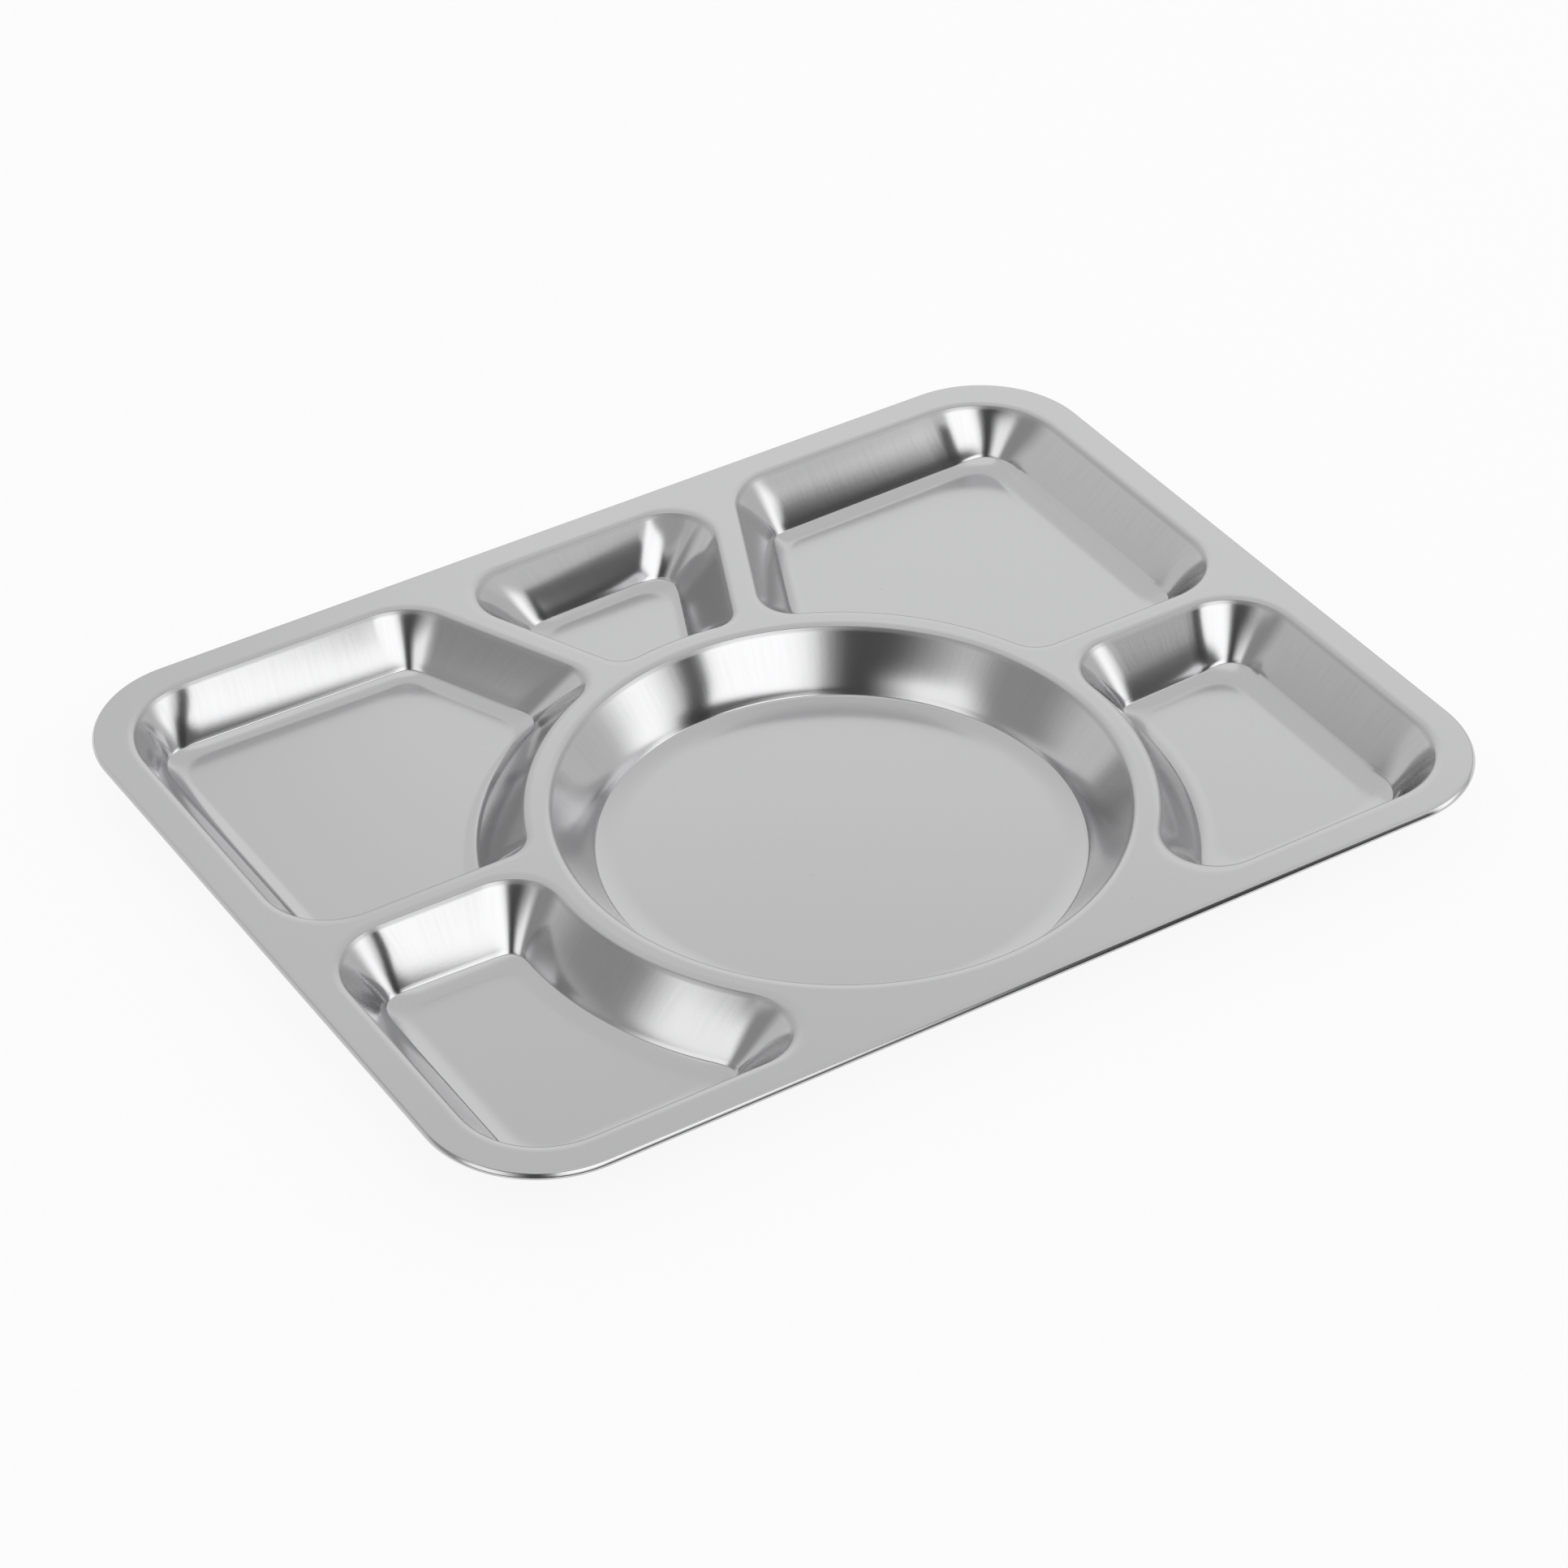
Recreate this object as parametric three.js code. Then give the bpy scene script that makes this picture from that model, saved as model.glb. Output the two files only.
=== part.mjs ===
// Compartment food tray: one sheet of stainless steel, pressed into six wells, with a rolled rim.
// Millimetres. +X runs along the tray to the right, +Y to its back and +Z up.
// The origin is under the tray's middle, on the surface that the tray stands on.
import * as THREE from 'three';

// Sheet
const SHEET = 0.6;                  // thickness of the steel

// Plan of the deck, measured between the mouths of the wells
const TRAY_LENGTH = 395;            // over the rim, along X
const TRAY_CORNER_RADIUS = 41;      // over the rim
const EDGE_LAND = 10.9;             // rim to the mouths of the five outer wells
const ROUND_DIAMETER = 196.6;       // mouth of the round well
const ROUND_EDGE_LAND = 14.2;       // front rim to the round well
const ROUND_WEB = 4.7;              // deck left between the round well and its neighbours
const MIDDLE_WELL_WIDTH = 73.6;     // back middle well, front to back on the tray's centre line
const FRONT_WELL_WIDTH = 127.8;     // front wells, front to back
const SIDE_WEB = 4.3;               // deck left between a front well and the back well behind it
const SLANT_WEB = 5.6;              // slanting deck strip on each side of the back middle well
const SLANT_SPACING = 124;          // between those two strips, at the back mouths
const SLANT_ANGLE = 24.5;           // degrees that the strips lean away from the centre line

// Section of a well's wall
const WELL_DEPTH = 20;              // deck to floor, on the upper side
const WALL_ANGLE = 53;              // degrees between wall and floor
const MOUTH_FILLET = 2.8;           // deck into wall, on the upper side
const FLOOR_FILLET = 7.5;           // wall into floor, on the upper side

// Corner radii at the mouths, seen from above
const OUTER_BACK_CORNER = 34;       // back wells, at the tray's back corners
const OUTER_FRONT_CORNER = 31;      // front wells, at the tray's front corners
const SIDE_WEB_CORNER = 25;         // both side wells, where the web between them meets the rim
const BACK_WELL_WEB_CORNER = 13;    // back wells, between the web and the round well
const BACK_WELL_INNER_CORNER = 14;  // back wells, between the round well and the slanting strip
const BACK_WELL_SLANT_CORNER = 24;  // back wells, between the slanting strip and the back
const FRONT_WELL_WEB_CORNER = 19;   // front wells, between the web and the round well
const FRONT_WELL_INNER_CORNER = 23; // front wells, between the round well and the front
const MIDDLE_FRONT_CORNER = 10;     // middle well, at the round well
const MIDDLE_BACK_CORNER = 18;      // middle well, at the back

// Corner radii at the floors
const OUTER_FLOOR_CORNER = 8;       // at the tray's own corners
const INNER_FLOOR_CORNER = 6;       // everywhere else

// Rolled rim
const BEAD_RADIUS = 1.2;            // outside of the roll
const BEAD_SWEEP = 250;             // degrees that the sheet turns, from the deck round and under

// Fineness of the round stretches
const CORNER_STEPS = 7;
const RIM_CORNER_STEPS = 10;
const ARC_STEPS = 10;
const CIRCLE_STEPS = 72;
const FILLET_STEPS = 2;
const FLOOR_FILLET_STEPS = 2;
const BEAD_STEPS = 8;

const FINISH = { color: 0xb6b7b8, roughness: 0.34, metalness: 1 };

// Places that follow from the sizes
const TRAY_WIDTH = EDGE_LAND + MIDDLE_WELL_WIDTH + ROUND_WEB + ROUND_DIAMETER + ROUND_EDGE_LAND;
const DECK_HEIGHT = WELL_DEPTH + SHEET;
const SIDE_MOUTH = TRAY_LENGTH / 2 - EDGE_LAND;
const BACK_MOUTH = TRAY_WIDTH / 2 - EDGE_LAND;
const FRONT_MOUTH = EDGE_LAND - TRAY_WIDTH / 2;
const WEB_FRONT = FRONT_MOUTH + FRONT_WELL_WIDTH;
const WEB_BACK = WEB_FRONT + SIDE_WEB;
const ROUND_RADIUS = ROUND_DIAMETER / 2;
const ROUND_CENTRE = new THREE.Vector2(0, ROUND_EDGE_LAND + ROUND_RADIUS - TRAY_WIDTH / 2);
const ROUND_BORDER = ROUND_RADIUS + ROUND_WEB;
const SLOPE = THREE.MathUtils.degToRad(WALL_ANGLE);
const WALL_RUN = WELL_DEPTH / Math.tan(SLOPE) + (MOUTH_FILLET + FLOOR_FILLET) * Math.tan(SLOPE / 2);

// Edges of a well's outline, walked anticlockwise with the well on the left

class StraightEdge {
  constructor(point, direction) {
    this.point = point;
    this.inward = new THREE.Vector2(-direction.y, direction.x).normalize();
    this.steps = 1;
  }

  inwardAt() {
    return this.inward.clone();
  }

  distanceTo(place) {
    return place.clone().sub(this.point).dot(this.inward);
  }

  between(start, end, share) {
    return start.clone().lerp(end, share);
  }
}

// The edge that runs beside the round well, at one width of web from its mouth
class EdgeBesideRoundWell {
  constructor() {
    this.steps = ARC_STEPS;
  }

  inwardAt(place) {
    return place.clone().sub(ROUND_CENTRE).normalize();
  }

  distanceTo(place) {
    return place.distanceTo(ROUND_CENTRE) - ROUND_BORDER;
  }

  between(start, end, share) {
    const from = start.clone().sub(ROUND_CENTRE);
    const to = end.clone().sub(ROUND_CENTRE);
    const turn = Math.atan2(from.cross(to), from.dot(to));
    return start.clone().rotateAround(ROUND_CENTRE, turn * share);
  }
}

// Centre of a round corner: the point at the given distance inside both edges, found by Newton's method
function cornerCentre(first, second, distance, start) {
  const rounds = 12;
  const centre = start.clone();
  for (let round = 0; round < rounds; round++) {
    const a = first.inwardAt(centre);
    const b = second.inwardAt(centre);
    const missA = distance - first.distanceTo(centre);
    const missB = distance - second.distanceTo(centre);
    const scale = a.cross(b);
    centre.x += (missA * b.y - missB * a.y) / scale;
    centre.y += (missB * a.x - missA * b.x) / scale;
  }
  return centre;
}

// Points of a round corner, from its first edge to its second
function cornerPoints(first, second, inset, radius, start) {
  const centre = cornerCentre(first, second, inset + radius, start);
  const from = first.inwardAt(centre).multiplyScalar(-radius);
  const to = second.inwardAt(centre).multiplyScalar(-radius);
  const turn = Math.acos(THREE.MathUtils.clamp(from.dot(to) / radius ** 2, -1, 1));
  const points = [];
  for (let step = 0; step <= CORNER_STEPS; step++) {
    points.push(from.clone().rotateAround(new THREE.Vector2(), (turn * step) / CORNER_STEPS).add(centre));
  }
  return points;
}

// Outline of a well, moved inwards from its mouth. Each corner follows the edge of the same number,
// and its radius goes evenly from the mouth's to the floor's.
function cornerWellOutline(well, inset) {
  const share = inset / WALL_RUN;
  const corners = well.edges.map((edge, i) => {
    const next = well.edges[(i + 1) % well.edges.length];
    const radius = THREE.MathUtils.lerp(well.mouthCorners[i], well.floorCorners[i], share);
    return cornerPoints(edge, next, inset, radius, well.middle);
  });
  const points = [];
  well.edges.forEach((edge, i) => {
    const start = corners.at(i - 1).at(-1);
    const end = corners[i][0];
    for (let step = 1; step < edge.steps; step++) {
      points.push(edge.between(start, end, step / edge.steps));
    }
    points.push(...corners[i]);
  });
  return points;
}

function roundWellOutline(inset) {
  const points = [];
  for (let step = 0; step < CIRCLE_STEPS; step++) {
    const angle = (step / CIRCLE_STEPS) * 2 * Math.PI;
    const spoke = new THREE.Vector2(Math.cos(angle), Math.sin(angle));
    points.push(spoke.multiplyScalar(ROUND_RADIUS - inset).add(ROUND_CENTRE));
  }
  return points;
}

// The same outline on the other side of the tray, still anticlockwise
function mirrored(outline) {
  return outline.map((point) => new THREE.Vector2(-point.x, point.y)).reverse();
}

// Outline of the tray at an offset inside its outermost edge
function trayOutline(offset) {
  const radius = TRAY_CORNER_RADIUS - offset;
  const points = [];
  for (let corner = 0; corner < 4; corner++) {
    const right = corner === 0 || corner === 3;
    const back = corner < 2;
    const x = (right ? 1 : -1) * (TRAY_LENGTH / 2 - TRAY_CORNER_RADIUS);
    const y = (back ? 1 : -1) * (TRAY_WIDTH / 2 - TRAY_CORNER_RADIUS);
    for (let step = 0; step <= RIM_CORNER_STEPS; step++) {
      const angle = ((corner + step / RIM_CORNER_STEPS) * Math.PI) / 2;
      points.push(new THREE.Vector2(x + radius * Math.cos(angle), y + radius * Math.sin(angle)));
    }
  }
  return points;
}

// Section of a wall, from mouth to floor: how far in and how far down each point of the upper side lies,
// and the tilt of the sheet there
function wallSection() {
  const section = [];
  for (let step = 0; step <= FILLET_STEPS; step++) {
    const tilt = (SLOPE * step) / FILLET_STEPS;
    const inset = MOUTH_FILLET * Math.sin(tilt);
    section.push({ inset, depth: MOUTH_FILLET * (1 - Math.cos(tilt)), tilt });
  }
  for (let step = FLOOR_FILLET_STEPS; step >= 0; step--) {
    const tilt = (SLOPE * step) / FLOOR_FILLET_STEPS;
    const inset = WALL_RUN - FLOOR_FILLET * Math.sin(tilt);
    section.push({ inset, depth: WELL_DEPTH - FLOOR_FILLET * (1 - Math.cos(tilt)), tilt });
  }
  return section;
}

// A level outline at a height over the deck
function ringAt(outline, height) {
  return outline.map((point) => new THREE.Vector3(point.x, point.y, height));
}

// Closed solid through a loop of rings, each with the same number of points
function ringSolid(rings) {
  const count = rings[0].length;
  const index = [];
  rings.forEach((ring, i) => {
    const here = i * count;
    const there = ((i + 1) % rings.length) * count;
    for (let k = 0; k < count; k++) {
      const next = (k + 1) % count;
      index.push(here + k, here + next, there + next);
      index.push(here + k, there + next, there + k);
    }
  });
  const geometry = new THREE.BufferGeometry();
  geometry.setFromPoints(rings.flat());
  geometry.setIndex(index);
  geometry.computeVertexNormals();
  return geometry;
}

// Flat plate of sheet whose upper side is at a height over the deck
function plate(outline, holes, height) {
  const shape = new THREE.Shape(outline);
  shape.holes = holes.map((hole) => new THREE.Path(hole));
  const geometry = new THREE.ExtrudeGeometry(shape, { depth: SHEET, bevelEnabled: false });
  geometry.translate(0, 0, height - SHEET);
  return geometry;
}

function wallSolid(outlineAt) {
  const section = wallSection();
  const upper = section.map(({ inset, depth }) => ringAt(outlineAt(inset), -depth));
  const lower = section.map(({ inset, depth, tilt }) => {
    const outline = outlineAt(inset - SHEET * Math.sin(tilt));
    return ringAt(outline, -depth - SHEET * Math.cos(tilt));
  });
  return ringSolid([...upper, ...lower.reverse()]);
}

// The sheet rolls over outwards at the deck's edge, down and back under
function rimSolid() {
  const ring = (radius, step) => {
    const turn = THREE.MathUtils.degToRad((BEAD_SWEEP * step) / BEAD_STEPS);
    const outline = trayOutline(BEAD_RADIUS - radius * Math.sin(turn));
    return ringAt(outline, radius * Math.cos(turn) - BEAD_RADIUS);
  };
  const steps = [...Array(BEAD_STEPS + 1).keys()];
  const outside = steps.map((step) => ring(BEAD_RADIUS, step));
  const inside = steps.map((step) => ring(BEAD_RADIUS - SHEET, step));
  return ringSolid([...inside, ...outside.reverse()]);
}

// Outlines of the wells on the tray's left half and on its centre line

const toFront = new THREE.Vector2(0, -1);
const toRight = new THREE.Vector2(1, 0);
const toLeft = new THREE.Vector2(-1, 0);
const lean = THREE.MathUtils.degToRad(SLANT_ANGLE);
const slantToFront = new THREE.Vector2(Math.sin(lean), -Math.cos(lean));
const slantToBack = slantToFront.clone().negate();
const leftSlantBack = new THREE.Vector2(-SLANT_SPACING / 2, BACK_MOUTH);
const halfWebAcross = new THREE.Vector2(Math.cos(lean), Math.sin(lean)).multiplyScalar(SLANT_WEB / 2);

const leftEdge = new StraightEdge(new THREE.Vector2(-SIDE_MOUTH, 0), toFront);
const backEdge = new StraightEdge(new THREE.Vector2(0, BACK_MOUTH), toLeft);
const besideRoundWell = new EdgeBesideRoundWell();

function backLeftWell() {
  return {
    edges: [
      leftEdge,
      new StraightEdge(new THREE.Vector2(0, WEB_BACK), toRight),
      besideRoundWell,
      new StraightEdge(leftSlantBack.clone().sub(halfWebAcross), slantToBack),
      backEdge,
    ],
    mouthCorners: [
      SIDE_WEB_CORNER,
      BACK_WELL_WEB_CORNER,
      BACK_WELL_INNER_CORNER,
      BACK_WELL_SLANT_CORNER,
      OUTER_BACK_CORNER,
    ],
    floorCorners: [
      INNER_FLOOR_CORNER,
      INNER_FLOOR_CORNER,
      INNER_FLOOR_CORNER,
      INNER_FLOOR_CORNER,
      OUTER_FLOOR_CORNER,
    ],
    middle: new THREE.Vector2((leftSlantBack.x - SIDE_MOUTH) / 2, (WEB_BACK + BACK_MOUTH) / 2),
  };
}

function frontLeftWell() {
  return {
    edges: [
      leftEdge,
      new StraightEdge(new THREE.Vector2(0, FRONT_MOUTH), toRight),
      besideRoundWell,
      new StraightEdge(new THREE.Vector2(0, WEB_FRONT), toLeft),
    ],
    mouthCorners: [OUTER_FRONT_CORNER, FRONT_WELL_INNER_CORNER, FRONT_WELL_WEB_CORNER, SIDE_WEB_CORNER],
    floorCorners: [OUTER_FLOOR_CORNER, INNER_FLOOR_CORNER, INNER_FLOOR_CORNER, INNER_FLOOR_CORNER],
    middle: new THREE.Vector2(-(SIDE_MOUTH + ROUND_BORDER) / 2, (FRONT_MOUTH + WEB_FRONT) / 2),
  };
}

function backMiddleWell() {
  const leftSlant = leftSlantBack.clone().add(halfWebAcross);
  const rightSlant = new THREE.Vector2(-leftSlant.x, leftSlant.y);
  return {
    edges: [
      new StraightEdge(leftSlant, slantToFront),
      besideRoundWell,
      new StraightEdge(rightSlant, new THREE.Vector2(slantToFront.x, -slantToFront.y)),
      backEdge,
    ],
    mouthCorners: [MIDDLE_FRONT_CORNER, MIDDLE_FRONT_CORNER, MIDDLE_BACK_CORNER, MIDDLE_BACK_CORNER],
    floorCorners: [INNER_FLOOR_CORNER, INNER_FLOOR_CORNER, INNER_FLOOR_CORNER, INNER_FLOOR_CORNER],
    middle: new THREE.Vector2(0, BACK_MOUTH - MIDDLE_WELL_WIDTH / 2),
  };
}

const backLeft = backLeftWell();
const backMiddle = backMiddleWell();
const frontLeft = frontLeftWell();

// Each well's outline, as a function of how far it lies inside the mouth
const wells = {
  round_well: roundWellOutline,
  back_left_well: (inset) => cornerWellOutline(backLeft, inset),
  back_middle_well: (inset) => cornerWellOutline(backMiddle, inset),
  back_right_well: (inset) => mirrored(cornerWellOutline(backLeft, inset)),
  front_left_well: (inset) => cornerWellOutline(frontLeft, inset),
  front_right_well: (inset) => mirrored(cornerWellOutline(frontLeft, inset)),
};

function named(name, geometry) {
  const mesh = new THREE.Mesh(geometry, new THREE.MeshStandardMaterial(FINISH));
  mesh.name = name;
  return mesh;
}

// The pressing is drawn from the deck's upper side downwards and then lifted on to its floors.
// Deck, rim, walls and floors meet face to face along the lines where the sheet is bent.
const pressing = new THREE.Group();
const mouths = Object.values(wells).map((outlineAt) => outlineAt(0));
pressing.add(named('deck', plate(trayOutline(BEAD_RADIUS), mouths, 0)));
pressing.add(named('rolled_rim', rimSolid()));
for (const [name, outlineAt] of Object.entries(wells)) {
  pressing.add(named(`${name}_wall`, wallSolid(outlineAt)));
  pressing.add(named(`${name}_floor`, plate(outlineAt(WALL_RUN), [], -WELL_DEPTH)));
}
pressing.position.z = DECK_HEIGHT;

const tray = new THREE.Group();
tray.add(pressing);

export default tray;
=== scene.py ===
"""A compartment food tray: one sheet of stainless steel, pressed into six wells, with a rolled rim."""

import math

import bmesh
import bpy
from bpy.props import FloatProperty, FloatVectorProperty, PointerProperty
from mathutils import Matrix, Quaternion, Vector


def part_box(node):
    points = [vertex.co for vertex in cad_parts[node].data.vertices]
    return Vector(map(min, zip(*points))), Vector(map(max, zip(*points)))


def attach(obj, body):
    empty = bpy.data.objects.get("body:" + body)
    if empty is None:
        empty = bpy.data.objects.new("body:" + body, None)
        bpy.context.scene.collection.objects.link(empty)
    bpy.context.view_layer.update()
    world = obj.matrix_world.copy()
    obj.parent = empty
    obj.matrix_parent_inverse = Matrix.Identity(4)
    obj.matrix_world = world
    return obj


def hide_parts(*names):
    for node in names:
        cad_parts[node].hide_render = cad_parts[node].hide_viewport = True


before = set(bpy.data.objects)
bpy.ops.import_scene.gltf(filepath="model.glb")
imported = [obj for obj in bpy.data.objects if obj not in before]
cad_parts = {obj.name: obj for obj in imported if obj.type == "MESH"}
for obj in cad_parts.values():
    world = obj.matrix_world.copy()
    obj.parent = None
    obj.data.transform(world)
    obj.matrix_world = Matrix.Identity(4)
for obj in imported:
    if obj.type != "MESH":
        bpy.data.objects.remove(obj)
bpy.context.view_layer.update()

bl_info = {
    "name": "Compartment food tray",
    "version": (1, 0, 0),
    "blender": (4, 5, 0),
    "location": "View3D > Sidebar > Food tray",
    "description": "Models a pressed stainless steel food tray and the studio it stands in",
    "category": "Object",
}

MM = 0.001

# Places read from the frame
DECK_LOW, DECK_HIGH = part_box("deck")
RIM_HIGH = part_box("rolled_rim")[1]
ROUND_LOW, ROUND_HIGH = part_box("round_well_wall")
BACK_LOW, BACK_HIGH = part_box("back_left_well_wall")
FRONT_LOW, FRONT_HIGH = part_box("front_left_well_wall")
DECK_TOP = DECK_HIGH.z
ROUND_CENTRE = ((ROUND_LOW + ROUND_HIGH) / 2).to_2d()
ROUND_RADIUS = (ROUND_HIGH.x - ROUND_LOW.x) / 2
SIDE_MOUTH = -BACK_LOW.x
BACK_MOUTH = BACK_HIGH.y
WEB_BACK = BACK_LOW.y
WEB_FRONT = FRONT_HIGH.y
FRONT_MOUTH = FRONT_LOW.y

# Width of the flat strip that each well and the rim have in the deck's plane, and of the one round a floor
COLLAR = 1.4 * MM
FLOOR_COLLAR = 0.8 * MM

# Steps that the stretches of an outline or of a section are made in
STRAIGHT_STEPS = 12
ARC_STEPS = 44
CORNER_STEPS = 22
CIRCLE_STEPS = 160
RIM_CORNER_STEPS = 28
DROOP_STEPS = 5
MOUTH_BEND_STEPS = 6
WALL_STEPS = 16
CREASE_STEPS = 4
FLOOR_FILLET_STEPS = 12
SHOULDER_STEPS = 6
SLOPE_STEPS = 4
ROLL_STEPS = 18

# Edges that turn by more than this stay crisp
CRISP_ANGLE = math.radians(30)

# Names that the pieces share: body, material slot, material and UV map
BODY = "root"
FINISH_NAME = "cold_rolled_stainless"
UNROLLED = "around_and_down"


def linear(colour):
    """An sRGB hex colour as linear red, green and blue."""
    parts = [int(colour[i:i + 2], 16) / 255 for i in (1, 3, 5)]
    return tuple(p / 12.92 if p <= 0.04045 else ((p + 0.055) / 1.055) ** 2.4 for p in parts)


def length(name, description, default):
    """A size in metres."""
    return FloatProperty(name=name, description=description, default=default, precision=4, unit="LENGTH")


def angle(name, description, degrees):
    """An angle, written in degrees and kept in radians."""
    return FloatProperty(
        name=name, description=description, default=math.radians(degrees), subtype="ANGLE", unit="ROTATION"
    )


def number(name, description, default):
    """A plain number."""
    return FloatProperty(name=name, description=description, default=default)


def share(name, description, default):
    """A share, with 1 for the whole."""
    return FloatProperty(name=name, description=description, default=default, subtype="FACTOR")


def colour(name, description, default):
    """A colour, written as sRGB hex and kept as linear light."""
    return FloatVectorProperty(name=name, description=description, default=linear(default), subtype="COLOR")


class TraySizes(bpy.types.PropertyGroup):
    """Sizes of the pressing that don't follow from the frame."""

    sheet: length("Sheet", "Thickness of the steel", DECK_HIGH.z - DECK_LOW.z)
    well_depth: length("Well depth", "Deck to floor, on the upper side", DECK_LOW.z)
    back_rise: length("Back rise", "How much higher the back wells' floors lie", 1.3 * MM)
    droop_length: length("Droop length", "Width of the strip of deck that droops towards a mouth", 2.2 * MM)
    droop_start: length("Droop start", "How far outside the mouth's line that strip starts", 0.8 * MM)
    droop_end: angle("Droop end", "Slope of the drooping strip at the mouth", 10)
    mouth_bend: length("Mouth bend", "Radius of the bend from the drooping strip to the wall", 1.2 * MM)
    crease_radius: length("Crease radius", "Radius of the sharp bend at a wall's foot", 0.9 * MM)
    corner_hold: number("Corner hold", "How long a corner keeps its mouth's radius, as a power", 1.4)
    corner_ease: share("Corner ease", "How much tighter a corner is in its middle, at the foot", 0.9)
    round_web: length("Round web", "Deck left round the round well", 4.7 * MM)
    slant_web: length("Slanting web", "Deck left beside the back middle well", 5.6 * MM)
    slant_spacing: length("Slant spacing", "Between the two slanting webs at the back", 124 * MM)
    slant_angle: angle("Slant angle", "Lean of those webs from the centre line", 24.5)

    # Corner radii at the wells' mouths
    outer_back_corner: length("Outer back corner", "Back wells, at the tray's corners", 34 * MM)
    outer_front_corner: length("Outer front corner", "Front wells, at the tray's corners", 31 * MM)
    side_web_corner: length("Side web corner", "Side wells, where their web meets the rim", 25 * MM)
    back_web_corner: length("Back web corner", "Back wells, web to round well", 13 * MM)
    back_inner_corner: length("Back inner corner", "Back wells, round well to slanting web", 14 * MM)
    back_slant_corner: length("Back slant corner", "Back wells, slanting web to back", 24 * MM)
    front_web_corner: length("Front web corner", "Front wells, web to round well", 19 * MM)
    front_inner_corner: length("Front inner corner", "Front wells, round well to front", 19 * MM)
    middle_front_corner: length("Middle front corner", "Middle well, at the round well", 10 * MM)
    middle_back_corner: length("Middle back corner", "Middle well, at the back", 18 * MM)

    # Corner radii at the feet of their walls
    outer_foot: length("Outer foot", "Side wells, at the tray's corners", 18 * MM)
    side_web_foot: length("Side web foot", "Side wells, where their web meets the rim", 14 * MM)
    back_inner_foot: length("Back inner foot", "Back wells, round well to slanting web", 15 * MM)
    back_slant_foot: length("Back slant foot", "Back wells, slanting web to back", 13 * MM)
    front_web_foot: length("Front web foot", "Front wells, web to round well", 9 * MM)
    front_inner_foot: length("Front inner foot", "Front wells, round well to front", 9 * MM)
    middle_back_foot: length("Middle back foot", "Middle well, at the back", 11 * MM)
    tight_foot: length("Tight foot", "Remaining corners", 10 * MM)

    # The rim
    tray_corner: length("Tray corner", "Corner radius over the rim", 41 * MM)
    shoulder_radius: length("Shoulder radius", "Radius of the bend from deck to rim", 0.8 * MM)
    slope_length: length("Slope length", "Width of the rim's slope", 1.0 * MM)
    slope_top: angle("Slope top", "Lean of the rim's slope where it starts", 50)
    slope_foot: angle("Slope foot", "Lean of the rim's slope where it ends", 56)
    roll_radius: length("Roll radius", "Outside radius of the rim's roll", 0.84 * MM)
    roll_sweep: angle("Roll sweep", "How far the rim's sheet turns, out, down and under", 250)


class TrayFinish(bpy.types.PropertyGroup):
    """Look of the steel."""

    steel: colour("Steel", "Colour of the cold rolled sheet", "#C8C8C9")
    satin: share("Satin", "Roughness of the sheet", 0.14)
    grain_size: length("Grain size", "Width of a speckle of the rolled grain", 0.9 * MM)
    grain_height: length("Grain height", "Height of the rolled grain", 0.003 * MM)
    flat_grain: share("Flat grain", "Share of that height that the flat stretches keep", 0.2)
    roll_width: length("Roll mark width", "Width of a mark left by the mill's rolls", 1.6 * MM)
    roll_length: length("Roll mark length", "Length of such a mark, along the tray", 120 * MM)
    roll_height: length("Roll mark height", "Height of such a mark", 0.003 * MM)
    streak_width: length("Streak width", "Width of a streak that drawing leaves down a wall", 1.8 * MM)
    streak_length: length("Streak length", "Length of such a streak", 30 * MM)
    streak_height: length("Streak height", "Height of such a streak", 0.003 * MM)
    streak_tone: share("Streak tone", "How much darker the deepest streaks are", 0.035)
    # Painted shade: the bend at each well's mouth is painted darker by this share
    painted_mouth_shade_tone: share("Painted mouth shade", "How much darker the bend at a mouth is painted, as shade", 0.12)
    rubbed_satin: share("Rubbed satin", "Roughness that this rubbing adds", 0.12)
    speck_spacing: length("Speck spacing", "Between the specks of dust and pitting", 19 * MM)
    speck_size: length("Speck size", "Radius of a speck", 0.28 * MM)
    speck_tone: share("Speck tone", "How much darker a speck is", 0.3)


class StudioSizes(bpy.types.PropertyGroup):
    """Floor, light and camera."""

    floor_size: length("Floor size", "Side of the square floor", 8.0)
    floor: colour("Floor", "Colour of the floor", "#F8F8F8")
    floor_white: share("Floor white", "Share of plain white that the floor shows besides its shading", 0.9)
    daylight: share("Daylight", "Brightness of the white all round the tray", 0.78)
    tent_radius: length("Tent radius", "From the tray to the panels of light round it", 3.0)
    lens: FloatProperty(
        name="Lens",
        description="Focal length in millimetres",
        default=113.83,
        unit="CAMERA",
    )
    camera_place: FloatVectorProperty(
        name="Camera",
        description="Where the camera stands",
        default=(-0.7067, -1.1205, 1.0218),
        unit="LENGTH",
    )
    camera_aim: FloatVectorProperty(
        name="Aim",
        description="What the camera points at",
        default=(-0.0125, -0.0216, 0.0206),
        unit="LENGTH",
    )
    camera_roll: angle("Roll", "How far the camera leans over", -0.41)


class StraightEdge:
    """A straight edge of a well's mouth, walked anticlockwise with the well on the left.

    The wall below it may have a form of its own, and may turn by some degrees on its way to its foot.
    """

    def __init__(self, point, direction, form=None, foot_turn=0):
        self.point = Vector(point)
        self.direction = Vector(direction)
        self.inward = Vector((-direction[1], direction[0])).normalized()
        self.form = form
        self.foot_turn = foot_turn
        self.steps = STRAIGHT_STEPS

    def lower_down(self, down_wall):
        turn = Matrix.Rotation(math.radians(self.foot_turn * down_wall), 2)
        return StraightEdge(self.point, turn @ self.direction)

    def inward_at(self, place):
        return self.inward

    def distance_to(self, place):
        return (place - self.point).dot(self.inward)

    def between(self, start, end, along):
        return start.lerp(end, along)


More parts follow.
